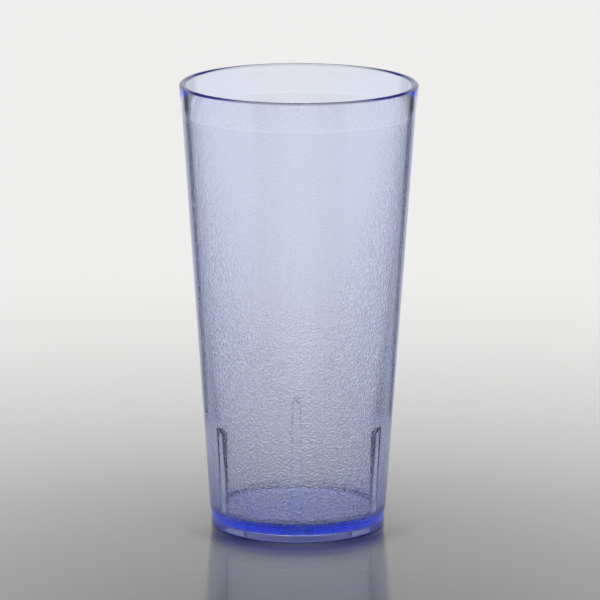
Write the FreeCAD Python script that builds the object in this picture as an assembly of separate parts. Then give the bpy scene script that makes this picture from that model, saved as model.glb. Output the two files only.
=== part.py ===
# Plastic tumbler cup, injection moulded in one piece from clear blue-tinted plastic.
# Frame: millimetres, +Z up, origin on the table at the centre of the foot ring, +Y through one stacking lug.
import FreeCAD, Part
import math
import os

# Overall form
height = 162.0
rim_diameter = 86.0
wall_thickness = 2.3

# Lip, and the smooth band below it
lip_thickness = 2.4
lip_crown_radius = 1.6
band_height = 10.6
band_step = 0.15
wall_top_diameter = 83.9

# Foot
foot_diameter = 62.9
foot_height = 5.4
foot_edge_radius = 0.7
foot_shoulder = 0.4
foot_ring_width = 3.0
foot_ring_draft = 0.5
recess_depth = 2.2

# Floor
floor_thickness = 3.6
floor_fillet = 3.0

# Mark that the mould's gate leaves in the recess: a shallow dimple around a low stub
gate_dimple_diameter = 7.0
gate_dimple_depth = 0.5
gate_stub_diameter = 2.2
gate_stub_height = 0.3

# Stacking lugs on the inside of the wall: their tops carry the foot of the next cup
lug_count = 3
lug_top_level = 39.2
lug_top_width = 3.1
lug_top_depth = 2.15
lug_top_radius = 2.7
lug_edge_radius = 0.5
lug_face_draft_deg = 1.0
lug_side_draft_deg = 0.5
first_lug_deg = 90.0

# How near two places count as the same
tolerance = 0.001

# Radii and levels that follow from the sizes above
rim_radius = rim_diameter / 2
foot_radius = foot_diameter / 2
wall_bottom = foot_height + foot_shoulder
wall_top = height - band_height
wall_bottom_radius = foot_radius + foot_shoulder
wall_top_radius = wall_top_diameter / 2
wall_slope = (wall_top_radius - wall_bottom_radius) / (wall_top - wall_bottom)
floor_top = recess_depth + floor_thickness
floor_middle = recess_depth + floor_thickness / 2
lip_middle_radius = rim_radius - lip_thickness / 2
lip_crown_centre_level = height - lip_crown_radius
lip_crown_half_deg = math.degrees(math.asin(lip_thickness / 2 / lip_crown_radius))
lip_level = lip_crown_centre_level + lip_crown_radius * math.cos(math.radians(lip_crown_half_deg))


def outer_radius(z):
    """Radius of the tapered wall's outside at the level z."""
    return wall_bottom_radius + wall_slope * (z - wall_bottom)


def inner_radius(z):
    """Radius of the tapered wall's inside at the level z."""
    return outer_radius(z) - wall_thickness


def lug_seat_radius(z):
    """Distance from the axis to the middle of the wall, where a lug's body ends, at the level z."""
    return inner_radius(z) + wall_thickness / 2


def lug_face_radius(z):
    """Distance from the axis to a lug's inner face, which is steeper than the wall, at the level z."""
    top_radius = inner_radius(lug_top_level) - lug_top_depth
    return top_radius - (lug_top_level - z) * math.tan(math.radians(lug_face_draft_deg))


def at(radius, z):
    """Point of the section, which lies in the XZ plane."""
    return FreeCAD.Vector(radius, 0, z)


def line(start, end):
    """Straight edge between two points."""
    return Part.LineSegment(start, end).toShape()


def arc_about(centre, radius, start_deg, end_deg):
    """Round edge of the section about a centre, with angles counted from straight outwards towards up."""
    places = []
    for degrees in (start_deg, (start_deg + end_deg) / 2, end_deg):
        angle = math.radians(degrees)
        places.append(centre + at(radius * math.cos(angle), radius * math.sin(angle)))
    return Part.Arc(*places).toShape()


def rounded(corners):
    """Edges along a row of (point, corner radius) pairs; a radius of 0 leaves the corner sharp."""
    points = [point for point, radius in corners]
    edges = []
    start = points[0]
    for before, (corner, radius), after in zip(points, corners[1:-1], points[2:]):
        back = (before - corner).normalize()
        ahead = (after - corner).normalize()
        half_angle = back.getAngle(ahead) / 2
        reach = radius / math.tan(half_angle)
        enter = corner + back * reach
        edges.append(line(start, enter))
        start = corner + ahead * reach
        if radius > 0:
            towards_centre = (back + ahead).normalize()
            middle = corner + towards_centre * (radius / math.sin(half_angle) - radius)
            edges.append(Part.Arc(enter, middle, start).toShape())
    edges.append(line(start, points[-1]))
    return edges


def shell():
    """Foot, floor, tapered wall, smooth band and lip, turned as one closed section."""
    ring_inner = foot_radius - foot_ring_width
    lip_centre = at(lip_middle_radius, lip_crown_centre_level)
    underside_and_outside = [
        (at(0, recess_depth), 0),
        (at(ring_inner - foot_ring_draft, recess_depth), 0),
        (at(ring_inner, 0), 0),
        (at(foot_radius, 0), foot_edge_radius),
        (at(foot_radius, foot_height), 0),
        (at(wall_bottom_radius, wall_bottom), 0),
        (at(wall_top_radius, wall_top), 0),
        (at(wall_top_radius + band_step, wall_top + band_step), 0),
        (at(rim_radius, lip_level), 0),
    ]
    inside = [
        (at(rim_radius - lip_thickness, lip_level), 0),
        (at(inner_radius(wall_top), wall_top), 0),
        (at(inner_radius(floor_top), floor_top), floor_fillet),
        (at(0, floor_top), 0),
    ]
    over_the_lip = [
        arc_about(lip_centre, lip_crown_radius, 90 - lip_crown_half_deg, 90),
        arc_about(lip_centre, lip_crown_radius, 90, 90 + lip_crown_half_deg),
    ]
    along_the_axis = line(at(0, floor_top), at(0, recess_depth))
    edges = rounded(underside_and_outside) + over_the_lip + rounded(inside) + [along_the_axis]
    face = Part.Face(Part.Wire(edges))
    return face.revolve(FreeCAD.Vector(0, 0, 0), FreeCAD.Vector(0, 0, 1), 360)


def gate_dimple():
    """What the gate mark takes out of the recess: a shallow round dimple, less the stub in its middle."""
    dimple = Part.makeCylinder(gate_dimple_diameter / 2, gate_dimple_depth, at(0, recess_depth))
    stub_foot = at(0, recess_depth + gate_dimple_depth - gate_stub_height)
    return dimple.cut(Part.makeCylinder(gate_stub_diameter / 2, gate_stub_height, stub_foot))


def lug_half_width(z):
    """Half of a lug's width at the level z; it narrows upwards, so that the mould's core draws out."""
    return lug_top_width / 2 + (lug_top_level - z) * math.tan(math.radians(lug_side_draft_deg))


def lug_side_view():
    """Block as thick as the cup, with a lug's outline as seen from its side: steep face and rounded top."""
    corners = [
        (at(lug_seat_radius(floor_middle), floor_middle), 0),
        (at(lug_seat_radius(lug_top_level), lug_top_level), 0),
        (at(lug_face_radius(lug_top_level), lug_top_level), lug_top_radius),
        (at(lug_face_radius(floor_middle), floor_middle), 0),
        (at(lug_seat_radius(floor_middle), floor_middle), 0),
    ]
    face = Part.Face(Part.Wire(rounded(corners)))
    face.translate(FreeCAD.Vector(0, -foot_radius, 0))
    return face.extrude(FreeCAD.Vector(0, foot_diameter, 0))


def lug_front_view():
    """Block as deep as the cup, with a lug's outline as seen from the axis: drafted sides."""
    bottom = lug_half_width(floor_middle)
    top = lug_half_width(lug_top_level)
    points = [
        FreeCAD.Vector(0, -bottom, floor_middle),
        FreeCAD.Vector(0, bottom, floor_middle),
        FreeCAD.Vector(0, top, lug_top_level),
        FreeCAD.Vector(0, -top, lug_top_level),
    ]
    face = Part.Face(Part.makePolygon(points + points[:1]))
    return face.extrude(FreeCAD.Vector(rim_radius, 0, 0))


def lug():
    """One stacking lug on the +X side, reaching into the wall and the floor that it grows out of."""
    block = lug_side_view().common(lug_front_view())
    long_edges = []
    for edge in block.Edges:
        ends = [vertex.Point for vertex in edge.Vertexes]
        on_one_side = min(point.y for point in ends) > 0 or max(point.y for point in ends) < 0
        at_the_foot = all(point.z < floor_middle + tolerance for point in ends)
        in_the_wall = all(point.x > lug_seat_radius(point.z) - tolerance for point in ends)
        if on_one_side and not at_the_foot and not in_the_wall:
            long_edges.append(edge)
    return block.makeFillet(lug_edge_radius, long_edges)


def lugs():
    """All the lugs, evenly spaced round the axis."""
    first = lug()
    first.rotate(FreeCAD.Vector(0, 0, 0), FreeCAD.Vector(0, 0, 1), first_lug_deg)
    ring = []
    for number in range(lug_count):
        copy = first.copy()
        copy.rotate(FreeCAD.Vector(0, 0, 0), FreeCAD.Vector(0, 0, 1), 360.0 * number / lug_count)
        ring.append(copy)
    return ring


def tumbler():
    """The whole cup as one solid."""
    return shell().cut(gate_dimple()).fuse(lugs()).removeSplitter()


os.makedirs("parts", exist_ok=True)
cup = tumbler()
cup.exportStep("parts/tumbler.step")
print("tumbler: solids", len(cup.Solids), "valid", cup.isValid(), "volume in mm3", round(cup.Volume))
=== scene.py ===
import logging
import math
from dataclasses import dataclass, field
from enum import Enum

import bpy
import numpy as np
from mathutils import Euler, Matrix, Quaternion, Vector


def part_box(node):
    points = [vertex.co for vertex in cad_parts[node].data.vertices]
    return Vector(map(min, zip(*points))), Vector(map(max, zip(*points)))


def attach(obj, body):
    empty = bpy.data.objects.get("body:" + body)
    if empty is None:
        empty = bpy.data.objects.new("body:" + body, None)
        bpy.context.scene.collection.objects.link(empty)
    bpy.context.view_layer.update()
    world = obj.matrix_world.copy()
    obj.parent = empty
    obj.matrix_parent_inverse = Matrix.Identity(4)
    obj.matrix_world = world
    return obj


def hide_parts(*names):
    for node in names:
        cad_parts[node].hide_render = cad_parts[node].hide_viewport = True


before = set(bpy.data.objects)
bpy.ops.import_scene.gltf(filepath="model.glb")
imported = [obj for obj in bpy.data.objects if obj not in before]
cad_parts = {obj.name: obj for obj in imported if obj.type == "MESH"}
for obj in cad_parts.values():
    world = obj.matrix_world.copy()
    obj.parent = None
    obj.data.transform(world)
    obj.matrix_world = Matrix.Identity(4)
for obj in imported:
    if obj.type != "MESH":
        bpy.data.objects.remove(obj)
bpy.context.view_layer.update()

MM = 0.001
NODE = "tumbler"
BODY = "root"
Socket = bpy.types.NodeSocket

log = logging.getLogger("tumbler_scene")


class Skin(Enum):
    """How a stretch of the moulded surface is finished."""

    SMOOTH = "smooth"
    GRAINED = "grained"


def straight(start: np.ndarray, end: np.ndarray, steps: int) -> np.ndarray:
    """Points of a straight run of the section, without its end.

    Formula: start + (end - start) * t for t = 0 .. 1 in equal steps.

    Args:
        start: radius and height of the first point.
        end: radius and height of the point that the run leads to.
        steps: how many points the run has.

    Returns:
        An array of shape (steps, 2).
    """
    share = np.arange(steps)[:, None] / steps
    return start + (end - start) * share


def fillet(before: np.ndarray, corner: np.ndarray, after: np.ndarray, radius: float,
           steps: int) -> np.ndarray:
    """Points of the round that replaces a corner of the section, both ends included.

    Formula: the round's centre lies on the corner's bisector, radius / sin(half angle) away; the points are
    the centre plus radius times a direction that turns evenly from one tangent point to the other.

    Args:
        before: point of the section ahead of the corner.
        corner: the corner itself.
        after: point of the section past the corner.
        radius: radius of the round; 0 keeps the bare corner.
        steps: how many parts the round is divided into.

    Returns:
        An array of shape (steps + 1, 2), or (1, 2) for a bare corner.
    """
    if radius == 0.0:
        return corner[None, :]
    back = (before - corner) / np.linalg.norm(before - corner)
    ahead = (after - corner) / np.linalg.norm(after - corner)
    half_angle = np.arccos(np.clip(back @ ahead, -1.0, 1.0)) / 2
    bisector = (back + ahead) / np.linalg.norm(back + ahead)
    centre = corner + bisector * radius / math.sin(half_angle)
    reach = radius / math.tan(half_angle)
    first = corner + back * reach - centre
    last = corner + ahead * reach - centre
    turn = np.arctan2(first[0] * last[1] - first[1] * last[0], first @ last)
    angle = np.linspace(0.0, turn, steps + 1)
    across = np.array([-first[1], first[0]])
    return centre + np.cos(angle)[:, None] * first + np.sin(angle)[:, None] * across


def ring_faces(rows: int, columns: int) -> np.ndarray:
    """Quads between rings of points that are stored ring by ring.

    Formula: the quad at (i, j) joins the points (i, j), (i, j + 1), (i + 1, j + 1) and (i + 1, j); the last
    point of a ring is followed by its first.

    Args:
        rows: number of rings.
        columns: number of points in a ring.

    Returns:
        An array of shape (faces, 4) of point numbers.
    """
    row = np.arange(rows - 1)[:, None] * columns
    column = np.arange(columns)[None, :]
    beside = (column + 1) % columns
    corners = (row + column, row + beside, row + columns + beside, row + columns + column)
    return np.stack([corner.ravel() for corner in corners], axis=1)


def mesh_object(name: str, points: np.ndarray, faces: list[tuple[int, ...]]) -> bpy.types.Object:
    """A smooth-shaded mesh object in the scene, made from points and faces.

    Args:
        name: name of the object and of its mesh.
        points: array of shape (count, 3), in metres.
        faces: the corners of each face, counterclockwise as seen from outside.

    Returns:
        The new object, which sits at the origin.
    """
    mesh = bpy.data.meshes.new(name)
    mesh.from_pydata(points.tolist(), [], faces)
    mesh.shade_smooth()
    mesh.validate()
    thing = bpy.data.objects.new(name, mesh)
    bpy.context.scene.collection.objects.link(thing)
    return thing


class NodeMaths:
    """Short ways to add arithmetic and shaders to a node tree."""

    def __init__(self, node_tree: bpy.types.NodeTree) -> None:
        """Takes the tree to add to."""
        self.nodes = node_tree.nodes
        self.links = node_tree.links

    def add(self, kind: str) -> bpy.types.Node:
        """Adds a node of a kind and returns it."""
        return self.nodes.new(kind)

    def join(self, start: Socket | float, end: Socket) -> None:
        """Links an output to an input, or sets the input to a number.

        Args:
            start: the output or the number.
            end: the input.
        """
        if isinstance(start, (int, float)):
            end.default_value = start
        else:
            self.links.new(start, end)

    def parts(self, vector: Socket) -> tuple[Socket, Socket, Socket]:
        """Adds the split of a vector.

        Args:
            vector: the output to split.

        Returns:
            The outputs of its X, Y and Z.
        """
        split = self.add("ShaderNodeSeparateXYZ")
        self.join(vector, split.inputs["Vector"])
        return split.outputs["X"], split.outputs["Y"], split.outputs["Z"]

    def maths(self, operation: str, *values: Socket | float) -> Socket:
        """Adds one operation.

        Args:
            operation: Blender's name of the operation.
            values: the outputs or numbers that it works on.

        Returns:
            The result's output.
        """
        node = self.add("ShaderNodeMath")
        node.operation = operation
        for value, entry in zip(values, node.inputs):
            self.join(value, entry)
        return node.outputs["Value"]

    def times(self, first: Socket | float, second: Socket | float) -> Socket:
        """Adds the product of two values."""
        return self.maths("MULTIPLY", first, second)

    def length(self, across: Socket, along: Socket) -> Socket:
        """Adds the length of a flat vector, the root of the sum of its squares."""
        return self.maths("SQRT", self.maths("ADD", self.times(across, across), self.times(along, along)))

    def step(self, value: Socket, start: float, end: float, low: float = 0.0, high: float = 1.0) -> Socket:
        """Adds a smooth step of a value.

        Args:
            value: the output that the step follows.
            start: value up to which the result is low.
            end: value from which it is high; it may be below the start.
            low: the result before the step.
            high: the result after it.

        Returns:
            The step's output.
        """
        node = self.add("ShaderNodeMapRange")
        node.interpolation_type = "SMOOTHSTEP"
        rising = start < end
        node.inputs["From Min"].default_value = start if rising else end
        node.inputs["From Max"].default_value = end if rising else start
        node.inputs["To Min"].default_value = low if rising else high
        node.inputs["To Max"].default_value = high if rising else low
        self.join(value, node.inputs["Value"])
        return node.outputs["Result"]

    def blend(self, first: Socket | float, second: Socket | float, factor: Socket) -> Socket:
        """Adds a blend of two values.

        Args:
            first: the value at factor 0.
            second: the value at factor 1.
            factor: the share of the second.

        Returns:
            The blend's output.
        """
        node = self.add("ShaderNodeMix")
        node.data_type = "FLOAT"
        self.join(first, node.inputs["A"])
        self.join(second, node.inputs["B"])
        self.join(factor, node.inputs["Factor"])
        return node.outputs["Result"]

    def matt(self, color: tuple[float, float, float]) -> Socket:
        """Adds a matt shader of one plain colour.

        Args:
            color: its red, green and blue.

        Returns:
            The shader's output.
        """
        shader = self.add("ShaderNodeBsdfDiffuse")
        shader.inputs["Color"].default_value = (*color, 1.0)
        return shader.outputs["BSDF"]

    def mix(self, first: Socket, second: Socket, factor: Socket) -> Socket:
        """Adds a mix of two shaders.

        Args:
            first: the shader at factor 0.
            second: the shader at factor 1.
            factor: the share of the second.

        Returns:
            The mix's output.
        """
        mixed = self.add("ShaderNodeMixShader")
        self.join(factor, mixed.inputs["Fac"])
        self.join(first, mixed.inputs[1])
        self.join(second, mixed.inputs[2])
        return mixed.outputs["Shader"]


@dataclass(frozen=True)
class SurfacePlaces:
    """Levels and radii that tell the stretches of the moulding's surface apart.

    The wall is grained outside, and the floor underneath, inside the foot ring. The rest is smooth.
    """

    wall_from: float
    wall_to: float
    middle_at_table: float
    middle_slope: float
    half_wall: float
    recess_top: float
    recess_radius: float
    floor_top: float
    ring_radius: float
    margin: float = 0.5 * MM
    edge: float = 0.2 * MM

    # A lug is told from the wall by its distance from it, and its flanks, which carry a painted dark
    # reflection, by the way they face
    lug_from: float = 0.1 * MM
    lug_full: float = 0.4 * MM
    lug_foot_full: float = 1.0 * MM
    flank_from: float = 0.8
    flank_full: float = 0.97

    def masks(self, tree: NodeMaths, place: Socket) -> tuple[Socket, Socket, Socket]:
        """Adds the nodes that find the grained places and the underside of the foot ring.

        Formula: the wall's part is a step up at its foot, a step down at its top and a step up at the middle
        of the wall's thickness; the recess's part is a step down at its top and a step down at its radius; the
        foot ring's part has the same step down at the top and lies between the recess's radius and its own.

        Args:
            tree: the material's nodes.
            place: output that gives the place on the object.

        Returns:
            Three outputs that are 1 on the wall's grain, on the recess's grain and under the foot ring.
        """
        across, along, level = tree.parts(place)
        radius = tree.length(across, along)
        middle = tree.maths("MULTIPLY_ADD", level, self.middle_slope, self.middle_at_table)
        outwards = tree.step(tree.maths("SUBTRACT", radius, middle), 0.0, self.edge)
        above_foot = tree.step(level, self.wall_from, self.wall_from + self.margin)
        under_band = tree.step(level, self.wall_to, self.wall_to - self.margin)
        wall = tree.times(outwards, tree.times(above_foot, under_band))
        underneath = tree.step(level, self.recess_top + self.edge, self.recess_top)
        within = tree.step(radius, self.recess_radius, self.recess_radius - self.edge)
        on_ring = tree.step(radius, self.ring_radius, self.ring_radius - self.edge)
        around = tree.maths("SUBTRACT", on_ring, within)
        return wall, tree.times(underneath, within), tree.times(underneath, around)

    def flanks(self, tree: NodeMaths, place: Socket) -> Socket:
        """Adds the factor of the lugs' flanks and tops, which carry a painted dark reflection.

        Formula: a lug is all that lies above the floor and further in than the wall; its flanks are where the
        surface's direction has a large share along the wall or upwards.

        Args:
            tree: the material's nodes.
            place: output that gives the place on the object.

        Returns:
            The factor's output.
        """
        across, along, level = tree.parts(place)
        radius = tree.length(across, along)
        inside = tree.maths("MULTIPLY_ADD", level, self.middle_slope, self.middle_at_table - self.half_wall)
        inwards = tree.step(tree.maths("SUBTRACT", inside, radius), self.lug_from, self.lug_full)
        above = tree.step(level, self.floor_top + self.edge, self.floor_top + self.lug_foot_full)
        facing = tree.parts(tree.add("ShaderNodeNewGeometry").outputs["Normal"])
        turned = tree.maths("SUBTRACT", tree.times(across, facing[1]), tree.times(along, facing[0]))
        sideways = tree.maths("ABSOLUTE", tree.maths("DIVIDE", turned, radius))
        steep = tree.maths("MAXIMUM", sideways, tree.maths("ABSOLUTE", facing[2]))
        return tree.times(tree.step(steep, self.flank_from, self.flank_full), tree.times(inwards, above))


@dataclass(frozen=True)
class TintedPlastic:
    """Clear moulding plastic with a blue-violet dye, glossy where smooth and finely pebbled where grained.

    A thin matt haze lies over it: faint on the grained wall, thicker under the foot ring, and in specks in
    the recess, fewer in its front half. The lugs' flanks and tops carry a painted dark reflection: an almost
    black matt colour in place of what steep faces mirror inside clear plastic.
    """

    # Clear body
    tint: tuple[float, float, float] = (0.04, 0.26, 0.97)
    tint_density: float = 63.0
    refraction: float = 1.57
    roughness: float = 0.015
    grain_roughness: float = 0.05

    # Pebbled grain of the wall, in features per metre; its height fades from the foot to the top
    pebble_scale: float = 1250.0
    pebble_low: float = 0.36
    pebble_high: float = 0.54
    pebble_foot_height: float = 0.085 * MM
    pebble_top_height: float = 0.025 * MM
    pebble_fade_from: float = 50.0 * MM
    pebble_fade_to: float = 150.0 * MM

    # Frosted recess
    frost_scale: float = 800.0
    frost_height: float = 0.7 * MM
    noise_middle: float = 0.5
    speck_low: float = 0.4
    speck_high: float = 0.6
    frost_haze: float = 0.5
    frost_front: float = 0.2
    frost_from: float = -10.0 * MM
    frost_to: float = 6.0 * MM
    frost_color: tuple[float, float, float] = (0.7, 0.78, 1.0)

    # Haze, and the painted dark reflection on the lugs' flanks
    wall_haze: float = 0.035
    ring_haze: float = 0.45
    haze_color: tuple[float, float, float] = (0.22, 0.26, 1.0)
    painted_reflection_flank_cover: float = 0.97
    painted_reflection_flank_color: tuple[float, float, float] = (0.01, 0.008, 0.1)

    # Colour in plain solid views
    display: tuple[float, float, float, float] = (0.62, 0.62, 0.9, 0.4)

    def material(self, name: str, places: SurfacePlaces) -> bpy.types.Material:
        """Builds the node material.

        Args:
            name: the material's name.
            places: where the stretches of the surface lie.

        Returns:
            The material: a clear refracting surface over a plain absorbing volume.
        """
        material = bpy.data.materials.new(name)
        material.use_nodes = True
        material.diffuse_color = self.display
        tree = NodeMaths(material.node_tree)
        place = tree.add("ShaderNodeTexCoord").outputs["Object"]
        wall, recess, ring = places.masks(tree, place)
        normal = self.grain_normal(tree, place, wall, recess)
        clear = self.clear_surface(tree, normal, tree.maths("MAXIMUM", wall, recess))
        outside = tree.maths("MULTIPLY_ADD", ring, self.ring_haze, tree.times(wall, self.wall_haze))
        cover = tree.maths("MULTIPLY_ADD", recess, self.specks(tree, place), outside)
        hazed = tree.mix(clear, self.haze(tree, normal, recess), cover)
        # The lugs' flanks and tops are mixed towards an almost black matt colour: a painted dark reflection.
        flanks = tree.times(places.flanks(tree, place), self.painted_reflection_flank_cover)
        output = tree.nodes["Material Output"]
        tree.join(tree.mix(hazed, tree.matt(self.painted_reflection_flank_color), flanks), output.inputs["Surface"])
        tree.join(self.dye(tree), output.inputs["Volume"])
        return material

    def clear_surface(self, tree: NodeMaths, normal: Socket, grained: Socket) -> Socket:
        """Sets the material's own shader to clear plastic, a little rougher where it is grained.

        Args:
            tree: the material's nodes.
            normal: output of the grain's bump.
            grained: output that is 1 where the surface is grained.

        Returns:
            The shader's output.
        """
        surface = tree.nodes["Principled BSDF"]
        surface.inputs["Base Color"].default_value = (1.0, 1.0, 1.0, 1.0)
        surface.inputs["Transmission Weight"].default_value = 1.0
        surface.inputs["IOR"].default_value = self.refraction
        tree.join(tree.blend(self.roughness, self.grain_roughness, grained), surface.inputs["Roughness"])
        tree.join(normal, surface.inputs["Normal"])
        return surface.outputs["BSDF"]

    def dye(self, tree: NodeMaths) -> Socket:
        """Adds the dye, a volume that takes up light evenly.

        Args:
            tree: the material's nodes.

        Returns:
            The volume's output.
        """
        volume = tree.add("ShaderNodeVolumeAbsorption")
        volume.inputs["Color"].default_value = (*self.tint, 1.0)
        volume.inputs["Density"].default_value = self.tint_density
        return volume.outputs["Volume"]

    def haze(self, tree: NodeMaths, normal: Socket, recess: Socket) -> Socket:
        """Adds the matt haze, blue on the wall and the ring and paler in the recess.

        Args:
            tree: the material's nodes.
            normal: output of the grain's bump.
            recess: output that is 1 in the recess.

        Returns:
            The shader's output.
        """
        shader = tree.add("ShaderNodeBsdfDiffuse")
        shade = tree.add("ShaderNodeCombineColor")
        for channel, plain, frosty in zip(("Red", "Green", "Blue"), self.haze_color, self.frost_color):
            tree.join(tree.blend(plain, frosty, recess), shade.inputs[channel])
        tree.join(shade.outputs["Color"], shader.inputs["Color"])
        tree.join(normal, shader.inputs["Normal"])
        return shader.outputs["BSDF"]

    def specks(self, tree: NodeMaths, place: Socket) -> Socket:
        """Adds the specks of the recess's frost.

        Formula: a step of plain noise, times a step from the front of the recess to its back.

        Args:
            tree: the material's nodes.
            place: output that gives the place on the object.

        Returns:
            The output of their share.
        """
        _, along, _ = tree.parts(place)
        thick = tree.step(along, self.frost_from, self.frost_to, self.frost_front, 1.0)
        cloud = self.cloud(tree, place, self.frost_scale)
        return tree.times(tree.step(cloud, self.speck_low, self.speck_high, 0.0, self.frost_haze), thick)

    def cloud(self, tree: NodeMaths, place: Socket, scale: float) -> Socket:
        """Adds plain noise, mostly between 0.2 and 0.8.

        Args:
            tree: the material's nodes.
            place: output that gives the place on the object.
            scale: number of features per metre.

        Returns:
            The noise's output.
        """
        noise = tree.add("ShaderNodeTexNoise")
        noise.inputs["Scale"].default_value = scale
        noise.inputs["Detail"].default_value = 0.0
        tree.join(place, noise.inputs["Vector"])
        return noise.outputs["Fac"]

    def grain_normal(self, tree: NodeMaths, place: Socket, wall: Socket, recess: Socket) -> Socket:
        """Adds the bump of the grain.

        Formula: on the wall a step of plain noise, which makes flat pebbles with narrow valleys between them,
        and in the recess the plain noise itself; both lie evenly above and below the surface.

        Args:
            tree: the material's nodes.
            place: output that gives the place on the object.
            wall: output that is 1 where the wall is grained.
            recess: output that is 1 where the recess is grained.

        Returns:
            The bump's normal output.
        """
        cloud = self.cloud(tree, place, self.pebble_scale)
        pebbles = tree.step(cloud, self.pebble_low, self.pebble_high, -self.noise_middle, self.noise_middle)
        _, _, level = tree.parts(place)
        height = tree.step(level, self.pebble_fade_from, self.pebble_fade_to,
                           self.pebble_foot_height, self.pebble_top_height)
        on_wall = tree.times(pebbles, tree.times(wall, height))
        frost = tree.maths("SUBTRACT", self.cloud(tree, place, self.frost_scale), self.noise_middle)
        below = tree.times(recess, self.frost_height)
        bump = tree.add("ShaderNodeBump")
        bump.inputs["Strength"].default_value = 1.0
        bump.inputs["Distance"].default_value = 1.0
        tree.join(tree.maths("MULTIPLY_ADD", frost, below, on_wall), bump.inputs["Height"])
        return bump.outputs["Normal"]


@dataclass(frozen=True)
class LugSeat:
    """Where a lug grows out of the cup.

    The wall's inside at the lug's top, the radii at which the lug ends inside the wall at its foot and at its
    top, and the height of its foot, inside the floor.
    """

    wall_at_top: float
    foot_radius: float
    top_radius: float
    low: float


@dataclass
class StackingLug:
    """One of the steep-faced pads inside the wall that carry the foot of the next cup."""

    top_level: float = 39.2 * MM
    top_width: float = 3.1 * MM
    top_depth: float = 2.15 * MM
    top_radius: float = 2.7 * MM
    edge_radius: float = 0.5 * MM
    face_draft: float = math.radians(1.0)
    side_draft: float = math.radians(0.5)
    edge_steps: int = 6
    corner_steps: int = 10
    height_steps: int = 24

    def outline(self, inset: float, seat: LugSeat) -> np.ndarray:
        """Side view of the lug as a closed loop of (radius, height) points, its open edges moved inwards.

        Formula: seat line, top edge lowered by the inset, round corner of radius less the inset, steep face
        moved outwards by the inset, foot edge.

        Args:
            inset: how far the face, the corner and the top are moved into the lug.
            seat: where the lug grows out of the cup.

        Returns:
            An array of shape (points, 2).
        """
        top = self.top_level - inset
        face_top = seat.wall_at_top - self.top_depth + inset
        face_low = face_top - (top - seat.low) * math.tan(self.face_draft)
        corner = np.array([face_top, top])
        seat_top = np.array([seat.top_radius, top])
        face_foot = np.array([face_low, seat.low])
        bend = fillet(seat_top, corner, face_foot, self.top_radius - inset, self.corner_steps)
        face = straight(bend[-1], face_foot, self.height_steps)[1:]
        return np.vstack([[seat.foot_radius, seat.low], seat_top, bend, face, face_foot])

    def build(self, name: str, turn: float, seat: LugSeat) -> bpy.types.Object:
        """Makes the lug as a closed solid, its outline carried across its width with rounded long edges.

        Formula: across the width the outline is inset by r (1 - cos a) while its place goes as half width - r
        + r sin a for a = 0 .. 90 degrees on each side; the width grows downwards by the side draft.

        Args:
            name: name of the new object.
            turn: angle of the lug round the cup's axis, counted from +X, in radians.
            seat: where the lug grows out of the cup.

        Returns:
            The lug as an object of its own.
        """
        angle = np.linspace(0.0, math.pi / 2, self.edge_steps + 1)
        half = self.top_width / 2
        places = half - self.edge_radius + self.edge_radius * np.sin(angle)
        insets = self.edge_radius * (1 - np.cos(angle))
        loops = np.stack([self.outline(inset, seat) for inset in (*insets[::-1], *insets)])
        rows, columns, _ = loops.shape
        radius, height = loops[..., 0], loops[..., 1]
        across = np.concatenate([-places[::-1], places])[:, None]
        across = across * (1 + (self.top_level - height) * math.tan(self.side_draft) / half)
        points = np.stack([radius * math.cos(turn) - across * math.sin(turn),
                           radius * math.sin(turn) + across * math.cos(turn), height], axis=-1)
        faces = [tuple(quad) for quad in ring_faces(rows, columns).tolist()]
        faces.append(tuple(range(columns))[::-1])
        faces.append(tuple(range((rows - 1) * columns, rows * columns)))
        return mesh_object(name, points.reshape(-1, 3), faces)


@dataclass(frozen=True)
class Corner:
    """A corner of the turned section, its round, and the straight run that leads to it."""

    radius: float
    height: float
    bend: float = 0.0
    bend_steps: int = 1
    run_steps: int = 1
    skin: Skin = Skin.SMOOTH


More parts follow.
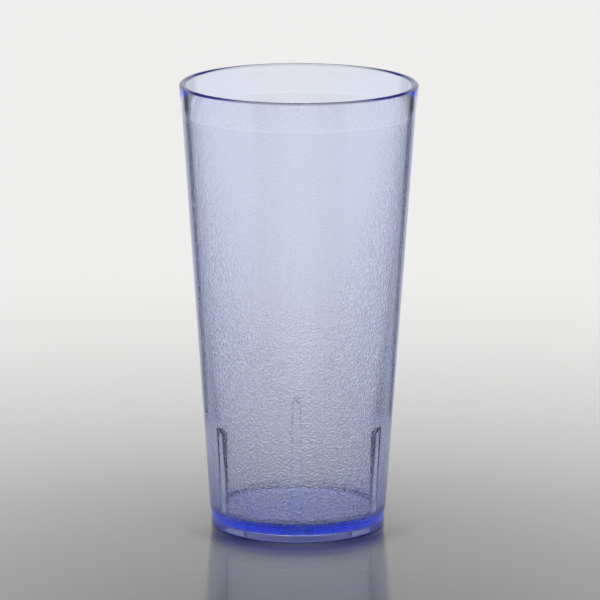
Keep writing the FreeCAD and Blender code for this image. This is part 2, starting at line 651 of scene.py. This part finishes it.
@dataclass
class Tumbler:
    """The one-piece moulding: foot ring, floor, grained wall, smooth rim band, lip and stacking lugs."""

    height: float
    rim_radius: float

    # Wall, band and lip
    wall: float = 2.3 * MM
    wall_top_radius: float = 41.95 * MM
    band_height: float = 10.6 * MM
    band_step: float = 0.15 * MM
    lip_thickness: float = 2.4 * MM
    lip_crown_radius: float = 1.6 * MM
    lip_crown_share: float = 0.8
    lip_edge_radius: float = 0.45 * MM
    step_edge_radius: float = 0.06 * MM

    # Foot
    foot_radius: float = 31.45 * MM
    foot_height: float = 5.4 * MM
    foot_edge_radius: float = 0.7 * MM
    foot_shoulder: float = 0.4 * MM
    ring_width: float = 3.0 * MM
    ring_draft: float = 0.5 * MM
    ring_edge_radius: float = 0.3 * MM

    # Floor, recess and the mould's gate mark
    floor_thickness: float = 3.6 * MM
    floor_fillet: float = 3.0 * MM
    recess_depth: float = 2.2 * MM
    recess_fillet: float = 0.6 * MM
    recess_margin: float = 0.1 * MM
    gate_radius: float = 3.5 * MM
    gate_depth: float = 0.5 * MM
    stub_radius: float = 1.1 * MM
    stub_height: float = 0.3 * MM

    # Division of the mesh
    columns: int = 360
    wall_rows: int = 60
    sharp_angle: float = math.radians(38.0)

    # Lugs and finish
    lug_count: int = 3
    first_lug: float = math.radians(90.0)
    lug: StackingLug = field(default_factory=StackingLug)
    plastic: TintedPlastic = field(default_factory=TintedPlastic)

    @property
    def wall_bottom(self) -> float:
        """Height at which the grained wall starts, above the foot's shoulder."""
        return self.foot_height + self.foot_shoulder

    @property
    def wall_top(self) -> float:
        """Height at which the grained wall ends, under the band."""
        return self.height - self.band_height

    @property
    def wall_bottom_radius(self) -> float:
        """Radius of the grained wall's outside where it starts."""
        return self.foot_radius + self.foot_shoulder

    @property
    def wall_slope(self) -> float:
        """How much the wall's radius grows for each metre of height."""
        return (self.wall_top_radius - self.wall_bottom_radius) / (self.wall_top - self.wall_bottom)

    @property
    def floor_top(self) -> float:
        """Height of the floor inside the cup."""
        return self.recess_depth + self.floor_thickness

    @property
    def crown_slope(self) -> float:
        """Angle by which the lip's crown falls at its edges, in radians."""
        return math.asin(self.lip_thickness / 2 / self.lip_crown_radius)

    @property
    def crown_bend(self) -> float:
        """Radius that the crown is rounded with, less than its own, to leave room for the edges' rounds."""
        return self.lip_crown_radius * self.lip_crown_share

    @property
    def crown_lift(self) -> float:
        """How far above the lip's top the tangents of its two edges would meet."""
        return self.crown_bend * (1 / math.cos(self.crown_slope) - 1)

    def outer_radius(self, z: float) -> float:
        """Radius of the grained wall's outside at the height z."""
        return self.wall_bottom_radius + self.wall_slope * (z - self.wall_bottom)

    def inner_radius(self, z: float) -> float:
        """Radius of the wall's inside at the height z."""
        return self.outer_radius(z) - self.wall

    def corners(self) -> list[Corner]:
        """Corners of the turned section.

        Returns:
            The corners from the axis under the floor, outwards, up, over the lip and back to the axis inside.
        """
        ring_inner = self.foot_radius - self.ring_width
        recess_edge = ring_inner - self.ring_draft
        band_radius = self.wall_top_radius + self.band_step
        inner_foot = self.inner_radius(self.floor_top)
        crown_peak = self.height + self.crown_lift
        lip_middle = self.rim_radius - self.lip_thickness / 2
        lip_inner = self.rim_radius - self.lip_thickness
        lip_level = crown_peak - self.lip_thickness / 2 * math.tan(self.crown_slope)
        dimple_top = self.recess_depth + self.gate_depth
        stub_bottom = dimple_top - self.stub_height
        tiny = self.step_edge_radius
        return [
            Corner(0.0, stub_bottom),
            Corner(self.stub_radius, stub_bottom, bend=tiny, bend_steps=2),
            Corner(self.stub_radius, dimple_top, bend=tiny, bend_steps=2),
            Corner(self.gate_radius, dimple_top, bend=tiny, bend_steps=2),
            Corner(self.gate_radius, self.recess_depth, bend=tiny, bend_steps=2),
            Corner(recess_edge, self.recess_depth, bend=self.recess_fillet, bend_steps=5, run_steps=2),
            Corner(ring_inner, 0.0, bend=self.ring_edge_radius, bend_steps=4),
            Corner(self.foot_radius, 0.0, bend=self.foot_edge_radius, bend_steps=7),
            Corner(self.foot_radius, self.foot_height, bend=tiny, bend_steps=2, run_steps=2),
            Corner(self.wall_bottom_radius, self.wall_bottom, bend=tiny, bend_steps=2),
            Corner(self.wall_top_radius, self.wall_top, tiny, 2, run_steps=self.wall_rows, skin=Skin.GRAINED),
            Corner(band_radius, self.wall_top + self.band_step, bend=tiny, bend_steps=2),
            Corner(self.rim_radius, lip_level, bend=self.lip_edge_radius, bend_steps=4, run_steps=3),
            Corner(lip_middle, crown_peak, bend=self.crown_bend, bend_steps=7),
            Corner(lip_inner, lip_level, bend=self.lip_edge_radius, bend_steps=4),
            Corner(self.inner_radius(self.wall_top), self.wall_top, run_steps=2),
            Corner(inner_foot, self.floor_top, bend=self.floor_fillet, bend_steps=9, run_steps=8),
            Corner(0.0, self.floor_top, run_steps=3),
        ]

    def section(self) -> np.ndarray:
        """The section's points.

        Formula: straight runs between the corners, each corner replaced by its round.

        Returns:
            An array of (radius, height) points.
        """
        corners = self.corners()
        places = np.array([(corner.radius, corner.height) for corner in corners])
        rounds = [places[:1]]
        for before, place, after, corner in zip(places, places[1:], places[2:], corners[1:]):
            rounds.append(fillet(before, place, after, corner.bend, corner.bend_steps))
        rounds.append(places[-1:])
        points = [places[:1]]
        for last, current, corner in zip(rounds, rounds[1:], corners[1:]):
            points += [straight(last[-1], current[0], corner.run_steps)[1:], current]
        return np.vstack(points)

    def shell(self) -> bpy.types.Object:
        """The turned shell.

        Formula: the point at angle a of a section point (r, z) is (r cos a, r sin a, z). The first and last
        rows are single points on the axis.

        Returns:
            The shell as a closed object.
        """
        section = self.section()
        angle = np.arange(self.columns) / self.columns * 2 * math.pi
        radius, height = section[1:-1, :1], section[1:-1, 1:]
        rings = np.stack(np.broadcast_arrays(radius * np.cos(angle), radius * np.sin(angle), height), axis=-1)
        ends = np.array([[0.0, 0.0, section[0, 1]], [0.0, 0.0, section[-1, 1]]])
        points = np.vstack([rings.reshape(-1, 3), ends])
        column = np.arange(self.columns)
        beside = (column + 1) % self.columns
        last_row = (len(radius) - 1) * self.columns
        bottom = np.full(self.columns, len(points) - 2)
        top = np.full(self.columns, len(points) - 1)
        under_cap = np.stack([bottom, beside, column], axis=1)
        floor_cap = np.stack([top, last_row + column, last_row + beside], axis=1)
        parts = (ring_faces(len(radius), self.columns), under_cap, floor_cap)
        faces = [tuple(face) for part in parts for face in part.tolist()]
        return mesh_object("tumbler_shell", points, faces)

    def surface_places(self) -> SurfacePlaces:
        """Where the stretches of the surface lie, as the material needs it.

        Returns:
            Their levels and radii; the wall's come from the section's grained run.
        """
        corners = self.corners()
        runs = [(start, end) for start, end in zip(corners, corners[1:]) if end.skin is Skin.GRAINED]
        wall_start, wall_end = runs[0]
        return SurfacePlaces(
            wall_from=wall_start.height,
            wall_to=wall_end.height,
            middle_at_table=self.outer_radius(0.0) - self.wall / 2,
            middle_slope=self.wall_slope,
            half_wall=self.wall / 2,
            recess_top=self.recess_depth + self.recess_margin,
            recess_radius=self.foot_radius - self.ring_width - self.ring_draft - self.recess_fillet,
            floor_top=self.floor_top,
            ring_radius=self.foot_radius - self.foot_edge_radius / 2,
        )

    def lugs(self) -> list[bpy.types.Object]:
        """The stacking lugs, evenly spaced round the axis, reaching into the wall and the floor.

        Returns:
            One object for each lug.
        """
        low = self.recess_depth + self.floor_thickness / 2
        top = self.lug.top_level
        seat = LugSeat(wall_at_top=self.inner_radius(top), foot_radius=self.inner_radius(low) + self.wall / 2,
                       top_radius=self.inner_radius(top) + self.wall / 2, low=low)
        made = []
        for number in range(self.lug_count):
            turn = self.first_lug + 2 * math.pi * number / self.lug_count
            made.append(self.lug.build(f"lug_{number + 1}", turn, seat))
        return made

    def build(self) -> bpy.types.Object:
        """Builds the moulding, joins its lugs to it and dresses it.

        Returns:
            The finished piece.
        """
        shell = self.shell()
        lugs = self.lugs()
        for lug in lugs:
            union = shell.modifiers.new(lug.name, "BOOLEAN")
            union.operation = "UNION"
            union.solver = "EXACT"
            union.object = lug
        evaluated = shell.evaluated_get(bpy.context.evaluated_depsgraph_get())
        mesh = bpy.data.meshes.new_from_object(evaluated)
        for spent in (shell, *lugs):
            bpy.data.objects.remove(spent)
        mesh.shade_smooth()
        mesh.set_sharp_from_angle(angle=self.sharp_angle)
        mesh.materials.clear()
        mesh.materials.append(self.plastic.material("tinted_plastic", self.surface_places()))
        piece = bpy.data.objects.new("moulded_tumbler", mesh)
        mesh.name = piece.name
        bpy.context.scene.collection.objects.link(piece)
        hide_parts(NODE)
        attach(piece, BODY)
        return piece


@dataclass(frozen=True)
class BoardFinish:
    """Pale satin board with a grey pool of painted shade round the cup, and painted dark reflections and
    refractions that only the plastic shows.

    Black flags beside a glass object do the same: its edges turn dark and the board behind it stays pale.
    """

    # Painted shade: a grey pool round the cup, and the pale board beyond it
    painted_dark_level: float = 0.012
    far: float = 0.76
    warmth: float = 0.985
    painted_shade_place: float = -0.15
    front_squeeze: float = 4.0
    near_reach: float = -0.08
    far_reach: float = 0.62
    side_widening: float = 0.054
    side_from: float = 0.125
    side_to: float = 0.30

    # Painted shadow on the board, close in front of the foot
    painted_contact_shadow_from: float = 0.033
    painted_contact_shadow_to: float = 0.047
    painted_contact_shadow_front: float = -0.025
    painted_contact_shadow_level: float = 0.1

    # Painted dark reflections and refractions, as angles from the Y axis: one pair for light that passes the
    # plastic, one for light it mirrors
    painted_reflection_near: float = 0.14
    painted_reflection_far: float = 0.18
    behind_from: float = math.radians(16.0)
    behind_full: float = math.radians(19.5)
    behind_end: float = math.radians(33.0)
    beside_from: float = math.radians(31.5)
    beside_full: float = math.radians(34.0)
    beside_end: float = math.radians(44.0)
    painted_reflection_fade: float = math.radians(4.0)

    # Two short strips of painted dark refraction in front of the cup, one on each side
    front_painted_reflection: float = -0.03
    front_painted_reflection_full: float = -0.06
    front_painted_reflection_side: float = 0.06
    front_painted_reflection_side_full: float = 0.09
    front_painted_reflection_end: float = 0.26
    front_painted_reflection_fade: float = 0.08

    # How much the painted dark reflections and refractions cover, behind the cup and in front of it
    painted_reflection_cover: float = 0.9
    painted_reflection_cover_in_front: float = 0.4
    turn_place: float = 0.02

    # Gloss
    roughness: float = 0.14
    gloss: float = 0.5

    def material(self, name: str) -> bpy.types.Material:
        """Builds the board's node material.

        Args:
            name: the material's name.

        Returns:
            The board's material: a satin board with dark cards laid over it.
        """
        material = bpy.data.materials.new(name)
        material.use_nodes = True
        tree = NodeMaths(material.node_tree)
        across, along, _ = tree.parts(tree.add("ShaderNodeTexCoord").outputs["Object"])
        radius = tree.length(across, along)
        level = self.level(tree, across, along, radius)
        tone = tree.add("ShaderNodeCombineColor")
        tree.join(level, tone.inputs["Red"])
        tree.join(level, tone.inputs["Green"])
        tree.join(tree.times(level, self.warmth), tone.inputs["Blue"])
        surface = tree.nodes["Principled BSDF"]
        tree.join(tone.outputs["Color"], surface.inputs["Base Color"])
        surface.inputs["Roughness"].default_value = self.roughness
        surface.inputs["Specular IOR Level"].default_value = self.gloss
        # An almost black matt shader that only light passing through or mirrored by the plastic meets: painted
        # dark reflections and refractions.
        painted_reflection_shader = tree.matt((self.painted_dark_level, self.painted_dark_level, self.painted_dark_level))
        covered = tree.mix(surface.outputs["BSDF"], painted_reflection_shader, self.painted_dark_reflections(tree, across, along, radius))
        tree.join(covered, tree.nodes["Material Output"].inputs["Surface"])
        return material

    def level(self, tree: NodeMaths, across: Socket, along: Socket, radius: Socket) -> Socket:
        """Adds the board's tone, with painted shade in it.

        Formula: the tone follows the distance from the middle of the grey pool of painted shade, with the part
        in front of that middle squeezed; it is pale on both sides of the view, and a painted shadow darkens it
        close to the front of the foot.

        Args:
            tree: the board's nodes.
            across: the place along X.
            along: the place along Y.
            radius: the distance from the cup's axis.

        Returns:
            The tone's output.
        """
        behind = tree.maths("SUBTRACT", along, self.painted_shade_place)
        in_front = tree.times(behind, -self.front_squeeze)
        reach = tree.length(across, tree.maths("MAXIMUM", behind, in_front))
        # Painted shade: the board is grey close to the cup and pale further off.
        pool = tree.step(reach, self.near_reach, self.far_reach, self.painted_dark_level, self.far)
        widening = tree.times(along, self.side_widening)
        aside = tree.maths("SUBTRACT", tree.maths("ABSOLUTE", across), widening)
        open_board = tree.blend(pool, self.far, tree.step(aside, self.side_from, self.side_to))
        # Painted shadow: the board is darker close in front of the foot, where the cup stands on it.
        close = tree.step(radius, self.painted_contact_shadow_to, self.painted_contact_shadow_from)
        painted_contact_shadow = tree.times(close, tree.step(along, 0.0, self.painted_contact_shadow_front))
        return tree.times(open_board, tree.blend(1.0, self.painted_contact_shadow_level, painted_contact_shadow))

    def painted_dark_reflections(self, tree: NodeMaths, across: Socket, along: Socket, radius: Socket) -> Socket:
        """Adds the factor of the painted dark reflections and refractions, which only the plastic shows.

        Formula: the angle round the cup is counted from the Y axis; between two angles lies a dark wedge, one
        pair of angles for light that passes the plastic and one for light that it mirrors. The two short
        strips in front lie on both sides and show by light that passes.

        Args:
            tree: the board's nodes.
            across: the place along X.
            along: the place along Y.
            radius: the distance from the cup's axis.

        Returns:
            The factor's output.
        """
        aside = tree.maths("ABSOLUTE", across)
        turn = tree.maths("ARCTAN2", aside, tree.maths("ABSOLUTE", along))
        away = tree.step(radius, self.painted_reflection_near, self.painted_reflection_far)
        behind = tree.times(self.wedge(tree, turn, self.behind_from, self.behind_full, self.behind_end), away)
        beside = tree.times(self.wedge(tree, turn, self.beside_from, self.beside_full, self.beside_end), away)
        in_front = tree.times(tree.step(along, self.front_painted_reflection, self.front_painted_reflection_full),
                              tree.step(aside, self.front_painted_reflection_side, self.front_painted_reflection_side_full))
        close = tree.step(radius, self.front_painted_reflection_end + self.front_painted_reflection_fade, self.front_painted_reflection_end)
        passed = tree.maths("MAXIMUM", behind, tree.times(in_front, close))
        path = tree.add("ShaderNodeLightPath")
        seen = tree.maths("MAXIMUM", tree.times(passed, path.outputs["Is Transmission Ray"]),
                          tree.times(beside, path.outputs["Is Glossy Ray"]))
        cover = tree.step(along, -self.turn_place, self.turn_place, self.painted_reflection_cover_in_front, self.painted_reflection_cover)
        return tree.times(seen, cover)

    def wedge(self, tree: NodeMaths, turn: Socket, start: float, full: float, end: float) -> Socket:
        """Adds a factor that rises between the angles start and full and falls past the end."""
        return tree.times(tree.step(turn, start, full), tree.step(turn, end + self.painted_reflection_fade, end))


@dataclass
class Studio:
    """Pale floor, plain soft light and the camera of the photograph."""

    # Floor
    floor_radius: float = 8.0
    floor_columns: int = 96
    finish: BoardFinish = field(default_factory=BoardFinish)

    # Camera
    camera_distance: float = 2.0
    camera_height: float = 0.510
    camera_turn: float = math.radians(-1.2)
    camera_roll: float = 0.0023
    aim_height: float = 0.0824
    aim_side: float = 0.0006
    lens: float = 339.8
    sensor_width: float = 36.0
    clip_end: float = 50.0

    # Light of the room, its walls and its ceiling, by how far up the light comes from
    light_bounces: int = 32
    room_level: float = 0.08
    wall_level: float = 0.82
    wall_top_from: float = 0.38
    wall_top_to: float = 0.48
    ceiling_level: float = 2.3
    ceiling_from: float = 0.72
    ceiling_to: float = 0.86

    def floor(self) -> None:
        """Lays a round flat board under the cup, far wider than the view.

        Formula: the board's edge is radius times (cos a, sin a) for even angles a.
        """
        angle = np.arange(self.floor_columns) / self.floor_columns * 2 * math.pi
        edge = np.stack([np.cos(angle), np.sin(angle), np.zeros_like(angle)], axis=1) * self.floor_radius
        board = mesh_object("studio_floor", edge, [tuple(range(self.floor_columns))])
        board.data.materials.append(self.finish.material("sweep_board"))

    def world(self) -> None:
        """Sets up a room with pale walls and one broad soft light overhead."""
        world = bpy.data.worlds.new("soft_room")
        world.use_nodes = True
        tree = NodeMaths(world.node_tree)
        _, _, up = tree.parts(tree.add("ShaderNodeTexCoord").outputs["Generated"])
        walls = tree.step(up, self.wall_top_to, self.wall_top_from, 0.0, self.wall_level)
        ceiling = tree.step(up, self.ceiling_from, self.ceiling_to, 0.0, self.ceiling_level)
        light = tree.maths("ADD", tree.maths("ADD", walls, ceiling), self.room_level)
        background = tree.nodes["Background"]
        background.inputs["Color"].default_value = (1.0, 1.0, 1.0, 1.0)
        tree.join(light, background.inputs["Strength"])
        bpy.context.scene.world = world

    def camera(self) -> None:
        """Sets up the photograph's camera: a long lens, a little above the rim, aimed at the cup's middle.

        Formula: the camera stands at its distance and turn from the cup's axis; it looks down by the angle
        between its own height and the aim's, and is rolled about its own line of sight.
        """
        data = bpy.data.cameras.new("studio_camera")
        data.lens = self.lens
        data.sensor_width = self.sensor_width
        data.clip_end = self.clip_end
        camera = bpy.data.objects.new("studio_camera", data)
        camera.location = (self.camera_distance * math.sin(self.camera_turn),
                           -self.camera_distance * math.cos(self.camera_turn), self.camera_height)
        pitch = math.atan2(self.camera_distance, self.camera_height - self.aim_height)
        heading = math.atan2(self.aim_side, self.camera_distance)
        look = Euler((pitch, 0.0, self.camera_turn - heading)).to_quaternion()
        camera.rotation_mode = "QUATERNION"
        camera.rotation_quaternion = look @ Quaternion((0.0, 0.0, 1.0), self.camera_roll)
        bpy.context.scene.collection.objects.link(camera)
        bpy.context.scene.camera = camera

    def build(self) -> None:
        """Sets up the floor, the surroundings, the camera and the plain view settings.

        Light that the plastic guides along its walls is mirrored many times, so it is followed that long.
        """
        self.floor()
        self.world()
        self.camera()
        bpy.context.scene.view_settings.view_transform = "Standard"
        paths = bpy.context.scene.cycles
        paths.max_bounces = self.light_bounces
        paths.glossy_bounces = self.light_bounces
        paths.transmission_bounces = self.light_bounces


def main() -> None:
    """Builds the tumbler and its studio."""
    logging.basicConfig(level=logging.INFO, format="%(name)s: %(message)s")
    low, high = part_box(NODE)
    tumbler = Tumbler(height=high[2] - low[2], rim_radius=(high[0] - low[0]) / 2)
    piece = tumbler.build()
    triangles = len(piece.data.loops) - 2 * len(piece.data.polygons)
    log.info("%s: %d triangles", piece.name, triangles)
    Studio().build()


if __name__ == "__main__":
    main()
